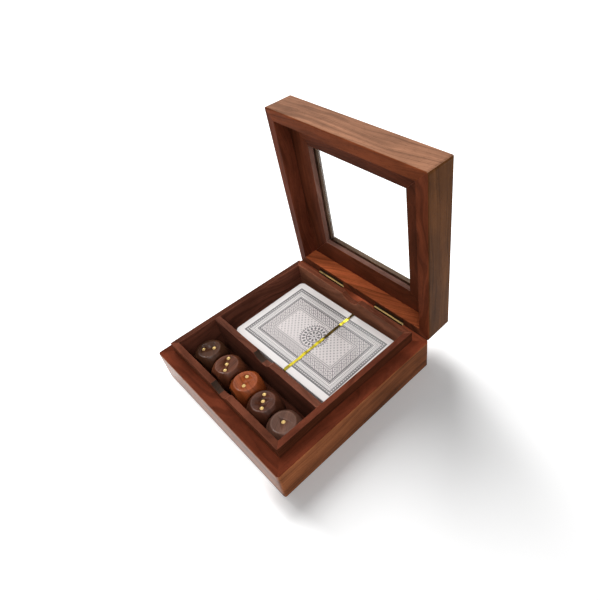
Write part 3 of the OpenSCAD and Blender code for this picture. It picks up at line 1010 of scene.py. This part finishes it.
def band_shape(deck, width, thickness):
    """A crinkled strip of film round the deck, closed on itself."""
    low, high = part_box("deck_band")
    half_width = deck.card_width / 2 + thickness
    half_height = (high.z - low.z) / 2
    stations = 150
    shape = bmesh.new()
    rings = []
    for station in range(stations):
        share = station / stations
        place, outward = band_point(share, half_width, half_height, 2.5 * thickness)
        phase = share * 2 * math.pi
        on_top = max(0.0, outward.y)
        wander = MM * on_top * (0.09 * math.sin(7 * phase + 0.6) + 0.05 * math.sin(17 * phase + 2.0))
        lift = MM * on_top * (0.1 + 0.08 * math.sin(11 * phase + 1.0))
        tip = on_top * (0.2 * math.sin(13 * phase) + 0.1 * math.sin(29 * phase + 0.8))
        across = Vector((math.cos(tip), outward.x * math.sin(tip), outward.y * math.sin(tip)))
        out = Vector((0.0, outward.x, outward.y))
        middle = Vector((wander, place.x, place.y)) + lift * out + abs(math.sin(tip)) * width / 2 * out
        ring = []
        for side, depth in ((-1, 0), (1, 0), (1, -1), (-1, -1)):
            ring.append(shape.verts.new(middle + side * width / 2 * across + depth * thickness * out))
        rings.append(ring)
    for station in range(stations):
        first = rings[station]
        second = rings[(station + 1) % stations]
        for side in range(4):
            after = (side + 1) % 4
            shape.faces.new((first[side], first[after], second[after], second[side]))
    bmesh.ops.recalc_face_normals(shape, faces=shape.faces)
    return shape


# Where the band's film is folded over, as millimetres along the Y axis, and how dark the painted shade is
# there. A fold's shade sets in over a short way to each side of its ends
FOLD_EDGE = 0.7
FOLD_SHADE = ((-15.0, -9.5, 0.55), (3.5, 5.0, 0.5), (18.5, 32.5, 1.0), (41.0, 50.0, 1.0))


def paint_band(settings):
    """Gold film, with painted shade where it is folded and in its creases."""
    paint = Paint("band_film_gold")
    x, y, z = paint.split(paint.spot())
    crease = paint.noise(paint.vector(x * 0.6, y * 0.22, z * 0.22), 3.0, 0.6)
    # Painted shade in the creases
    dark = paint.step(crease, 0.52, 0.72) * 0.5
    for low, high, depth in FOLD_SHADE:
        inside = paint.step(y, low - FOLD_EDGE, low + FOLD_EDGE)
        inside = inside * paint.step(y, high + FOLD_EDGE, high - FOLD_EDGE)
        dark = dark.most(inside * depth)
    deck = settings.deck
    return paint.finish(paint.shader(
        Base_Color=paint.mix(dark, rgba(deck.gold), rgba(deck.gold_shade)),
        Metallic=0.75,
        Roughness=0.25 + dark * 0.15,
    ))


class CARDBOX_OT_deck(Operator):
    """Make the pile of cards, the top card with its printed back and the band"""

    bl_idname = "cardbox.deck"
    bl_label = "Deck"

    # How much of its place in the pile a card fills
    card_share = 0.93
    film_thickness = 0.12 * MM
    seed = 11

    def execute(self, context):
        settings = context.scene.card_box
        deck = settings.deck
        self.make_pile(settings, deck)
        self.make_top_card(settings, deck)
        self.make_band(settings, deck)
        return {"FINISHED"}

    def make_pile(self, settings, deck):
        low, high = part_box("card_stack")
        pitch = (high.z - low.z) / deck.cards
        mesh = bpy.data.meshes.new("one_card")
        shape = card_shape(deck, pitch * self.card_share, 5)
        shape.to_mesh(mesh)
        shape.free()
        edges = paint_card_edges(settings)
        pile = pile_rule().run(mesh, Cards=deck.cards, Pitch=pitch, Slip=deck.slip, Seed=self.seed,
                               Material=edges)
        pile.transform(deck_place(deck, low.z))
        finish_piece(pile, "card_pile", "card_stack", edges)

    def make_top_card(self, settings, deck):
        low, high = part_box("top_card")
        shape = card_shape(deck, high.z - low.z)
        shape.transform(deck_place(deck, low.z))
        piece_from(shape, "top_card_printed", "top_card", paint_card_back(settings))

    def make_band(self, settings, deck):
        low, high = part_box("deck_band")
        middle = (low + high) / 2
        shape = band_shape(deck, deck.band_width, self.film_thickness)
        shape.transform(Matrix.Translation(middle) @ Matrix.Rotation(deck.turn, 4, "Z"))
        piece_from(shape, "deck_band_foil", "deck_band", paint_band(settings))


def pin_rule():
    """Sets a copy of a pin at each given point, along the point's outward direction."""
    rule = Rule("inlaid_pins")
    pin = rule.entry_of("Pin", "Object")
    material = rule.entry_of("Material", "Material")
    seed = rule.entry_of("Seed", "Int")
    outward = rule.node("GeometryNodeInputNamedAttribute", {"data_type": "FLOAT_VECTOR"},
                        {"Name": "outward"})
    upright = rule.node("FunctionNodeAlignRotationToVector", {"axis": "Z"}, {"Vector": outward})
    spin = rule.random(0.0, 2 * math.pi, seed)
    twist = rule.node("FunctionNodeEulerToRotation", None, {0: rule.vector(0.0, 0.0, spin)})
    turned = rule.node("FunctionNodeRotateRotation", {"rotation_space": "LOCAL"}, {0: upright, 1: twist})
    template = rule.node("GeometryNodeObjectInfo", None, {"Object": pin}, "Geometry")
    pins = rule.node("GeometryNodeInstanceOnPoints", None,
                     {"Points": rule.given(), "Instance": template, "Rotation": turned})
    rule.finish(pins, material)
    return rule


def pip_object(dice, steps=20):
    """A brass pin with a dimple in its end, turned about the Z axis, with its end at the origin."""
    radius = dice.pip_radius
    profile = (
        (0.0, -dice.pip_dimple), (0.3 * radius, -0.9 * dice.pip_dimple), (0.5 * radius, 0.0),
        (0.9 * radius, 0.0), (radius, -0.1 * radius), (radius, -dice.pip_length),
        (0.0, -dice.pip_length),
    )
    shape = bmesh.new()
    rings = []
    for reach, height in profile:
        if reach == 0.0:
            rings.append([shape.verts.new((0.0, 0.0, height))] * steps)
            continue
        turns = [2 * math.pi * step / steps for step in range(steps)]
        places = [(reach * math.cos(turn), reach * math.sin(turn), height) for turn in turns]
        rings.append([shape.verts.new(place) for place in places])
    for upper, lower in zip(rings, rings[1:]):
        for here in range(steps):
            after = (here + 1) % steps
            corners = dict.fromkeys((upper[here], lower[here], lower[after], upper[after]))
            shape.faces.new(corners)
    mesh = bpy.data.meshes.new("pip_pin")
    shape.to_mesh(mesh)
    shape.free()
    pin = bpy.data.objects.new("pip_pin", mesh)
    bpy.context.scene.collection.objects.link(pin)
    return pin


def islands(shape):
    """The separate parts of a mesh, each as a set of faces."""
    waiting = set(shape.faces)
    while waiting:
        part = set()
        queue = [waiting.pop()]
        while queue:
            face = queue.pop()
            part.add(face)
            for edge in face.edges:
                for other in edge.link_faces:
                    if other in waiting:
                        waiting.discard(other)
                        queue.append(other)
        yield part


def pip_places(node, middle):
    """A mesh with one point at the outer end of each pip of a die, which holds its outward direction."""
    shape = welded(node)
    ends = []
    for part in islands(shape):
        end = max(part, key=lambda face: face.normal.dot(face.calc_center_median() - middle))
        ends.append((end.calc_center_bounds(), end.normal.copy()))
    shape.free()
    mesh = bpy.data.meshes.new("pip_places")
    mesh.from_pydata([place for place, _ in ends], [], [])
    outward = mesh.attributes.new("outward", "FLOAT_VECTOR", "POINT")
    for spot, (_, normal) in zip(outward.data, ends):
        spot.vector = normal
    return mesh


def soften_flats(shape, width, middle):
    """Adds a ring inside the edge of each flat face of a die, which rounds its shading and is marked for
    wear and a painted highlight.
    """
    worn = shape.faces.layers.float.new("worn")
    reach = max((vert.co - middle).length for vert in shape.verts) - FLAT_REACH
    flats = [face for face in shape.faces if (face.calc_center_median() - middle).length < reach]
    made = bmesh.ops.inset_region(shape, faces=flats, thickness=width, use_boundary=True,
                                  use_even_offset=True)
    for face in made["faces"]:
        face[worn] = DIE_WEAR_AND_HIGHLIGHT


# Each die: its tone, the turn of its grain in degrees, and the place of its growth rings' pith
Die = namedtuple("Die", "number tone turn pith")
DICE = (
    Die(1, "dark", (10, 8, 40), (30.0, 18.0)),
    Die(2, "brown", (0, 6, 75), (26.0, 9.0)),
    Die(3, "red", (5, 10, 20), (34.0, 14.0)),
    Die(4, "umber", (0, 84, 10), (11.0, 7.0)),
    Die(5, "grey", (8, 12, 60), (28.0, 20.0)),
)


class CARDBOX_OT_dice(Operator):
    """Make the five dice and their brass pips"""

    bl_idname = "cardbox.dice"
    bl_label = "Dice"

    def execute(self, context):
        settings = context.scene.card_box
        brass = paint_brass("pip_brass_bright", settings, 0.15)
        pin = pip_object(settings.dice)
        rule = pin_rule()
        for die in DICE:
            self.make_die(die, settings, rule, pin, brass)
        bpy.data.objects.remove(pin)
        return {"FINISHED"}

    def make_die(self, die, settings, rule, pin, brass):
        node = f"die_{die.number}"
        low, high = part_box(node)
        shape = welded(node)
        soften_flats(shape, settings.dice.ease, (low + high) / 2)
        turn = tuple(math.radians(part) for part in die.turn)
        tone = getattr(settings.dice, die.tone)
        wood = paint_wood(node + "_wood", tone, tone, turn, (low + high) / 2, die.pith, 0.9, 2.2,
                          settings.dice.gloss, wax=0.9)
        piece_from(shape, node + "_wood", node, wood, RIM_ANGLE, False)
        pips = node + "_pips"
        places = pip_places(pips, (low + high) / 2)
        mesh = rule.run(places, Pin=pin, Material=brass, Seed=die.number)
        finish_piece(mesh, pips + "_brass", pips, brass)


class CARDBOX_OT_stage(Operator):
    """Set up the camera, the floor and the light"""

    bl_idname = "cardbox.stage"
    bl_label = "Stage"

    def execute(self, context):
        stage = context.scene.card_box.stage
        context.scene.view_settings.view_transform = "Standard"
        self.make_camera(context, stage)
        floor = self.make_floor(context, stage)
        self.make_sky(context, stage)
        dice = [piece for piece in context.scene.objects if piece.name.startswith("die_")]
        # Each lamp, the pieces that it leaves out or lights alone, and whether it shows as a reflection
        lamps = (
            ("key", [floor], "EXCLUDE", False), ("fill", [floor], "EXCLUDE", True),
            ("top", [floor], "EXCLUDE", True), ("glint", dice, "INCLUDE", True),
            ("high", [floor], "INCLUDE", False), ("low", [floor], "INCLUDE", False),
        )
        for name, pieces, state, shows in lamps:
            lamp = self.make_lamp(context, stage, name)
            lamp.visible_glossy = shows
            self.set_reach(lamp, pieces, state)
        return {"FINISHED"}

    def make_camera(self, context, stage):
        lens = bpy.data.cameras.new("camera")
        lens.sensor_width = 36
        lens.lens = stage.lens
        lens.shift_x, lens.shift_y = stage.shift
        lens.clip_start = 0.01
        camera = bpy.data.objects.new("camera", lens)
        level = math.pi / 2 - stage.elevation
        turn = Matrix.Rotation(stage.azimuth, 4, "Z") @ Matrix.Rotation(level, 4, "X")
        place = Matrix.Translation(stage.camera) @ turn
        camera.matrix_world = place @ Matrix.Rotation(stage.roll, 4, "Z")
        context.scene.collection.objects.link(camera)
        context.scene.camera = camera

    def make_floor(self, context, stage):
        mesh = bpy.data.meshes.new("floor")
        half = stage.floor_size / 2
        corners = [(-half, -half, 0), (half, -half, 0), (half, half, 0), (-half, half, 0)]
        mesh.from_pydata(corners, [], [(0, 1, 2, 3)])
        floor = bpy.data.objects.new("floor", mesh)
        context.scene.collection.objects.link(floor)
        paint = Paint("floor_white")
        lit = paint.node("ShaderNodeBsdfDiffuse", None, {"Color": rgba(stage.floor)})
        x, y, _ = paint.split(paint.spot())
        # Painted light: the glow whitens the floor's shadows, less so in the zone right of the box
        kept_shadow_zone = paint.step(x, *SHADE_LEFT) * paint.step(y, *SHADE_BACK) * paint.step(y, *SHADE_FRONT)
        less = kept_shadow_zone * (stage.floor_glow - stage.shadow_glow)
        glow = seen_directly(paint) * (stage.floor_glow - less)
        white = paint.node("ShaderNodeEmission", None, {"Color": (1, 1, 1, 1), "Strength": glow})
        mesh.materials.append(paint.finish(paint.node("ShaderNodeAddShader", None, {0: lit, 1: white})))
        return floor

    def make_sky(self, context, stage):
        world = bpy.data.worlds.new("sky")
        context.scene.world = world
        world.use_nodes = True
        sky = Nodes(world.node_tree)
        sky.tree.nodes.clear()
        strength = seen_directly(sky) * (1.0 - stage.sky) + stage.sky
        light = sky.node("ShaderNodeBackground", None, {"Color": (1, 1, 1, 1), "Strength": strength})
        sky.node("ShaderNodeOutputWorld", None, {"Surface": light}, None)

    def make_lamp(self, context, stage, name):
        light = bpy.data.lights.new(name, "SUN")
        light.angle = getattr(stage, name + "_spread")
        light.energy = getattr(stage, name + "_power")
        lamp = bpy.data.objects.new(name, light)
        lamp.rotation_euler = (-Vector(getattr(stage, name))).to_track_quat("-Z", "Y").to_euler()
        context.scene.collection.objects.link(lamp)
        return lamp

    def set_reach(self, lamp, pieces, state):
        """Lets a lamp light some pieces alone, or all but those pieces."""
        chosen = bpy.data.collections.new(lamp.name + "_reach")
        for piece in pieces:
            chosen.objects.link(piece)
        for link in chosen.collection_objects:
            link.light_linking.link_state = state
        lamp.light_linking.receiver_collection = chosen


def seen_directly(nodes):
    """1 for what the camera sees, straight or in metal and glass, and 0 for light on the box."""
    path = nodes.node("ShaderNodeLightPath", None, None, None)
    names = ("Is Camera Ray", "Is Glossy Ray", "Is Transmission Ray")
    camera, glossy, through = (next(p for p in path if p.socket.name == name) for name in names)
    return camera.most(glossy).most(through)


STEPS = (
    CARDBOX_OT_base_walls, CARDBOX_OT_liners, CARDBOX_OT_lid_walls, CARDBOX_OT_window,
    CARDBOX_OT_hinges, CARDBOX_OT_deck, CARDBOX_OT_dice, CARDBOX_OT_stage,
)


class CARDBOX_PT_panel(Panel):
    """Lists the steps that dress the card box, and its settings"""

    bl_idname = "CARDBOX_PT_panel"
    bl_label = "Card Box"
    bl_space_type = "VIEW_3D"
    bl_region_type = "UI"
    bl_category = "Card Box"

    def draw(self, context):
        settings = context.scene.card_box
        for step in STEPS:
            self.layout.operator(step.bl_idname)
        for group in (settings.wood, settings.dice, settings.deck, settings.metal, settings.stage):
            box = self.layout.box()
            for name in group.__annotations__:
                box.prop(group, name)


CLASSES = (
    WoodSettings, DiceSettings, DeckSettings, MetalSettings, StageSettings, CardBoxSettings,
    *STEPS, CARDBOX_PT_panel,
)


def register():
    for each in CLASSES:
        bpy.utils.register_class(each)
    bpy.types.Scene.card_box = PointerProperty(type=CardBoxSettings)


def unregister():
    del bpy.types.Scene.card_box
    for each in reversed(CLASSES):
        bpy.utils.unregister_class(each)


def main():
    register()
    bpy.ops.cardbox.base_walls()
    bpy.ops.cardbox.liners()
    bpy.ops.cardbox.lid_walls()
    bpy.ops.cardbox.window()
    bpy.ops.cardbox.hinges()
    bpy.ops.cardbox.deck()
    bpy.ops.cardbox.dice()
    bpy.ops.cardbox.stage()


if __name__ == "__main__":
    main()
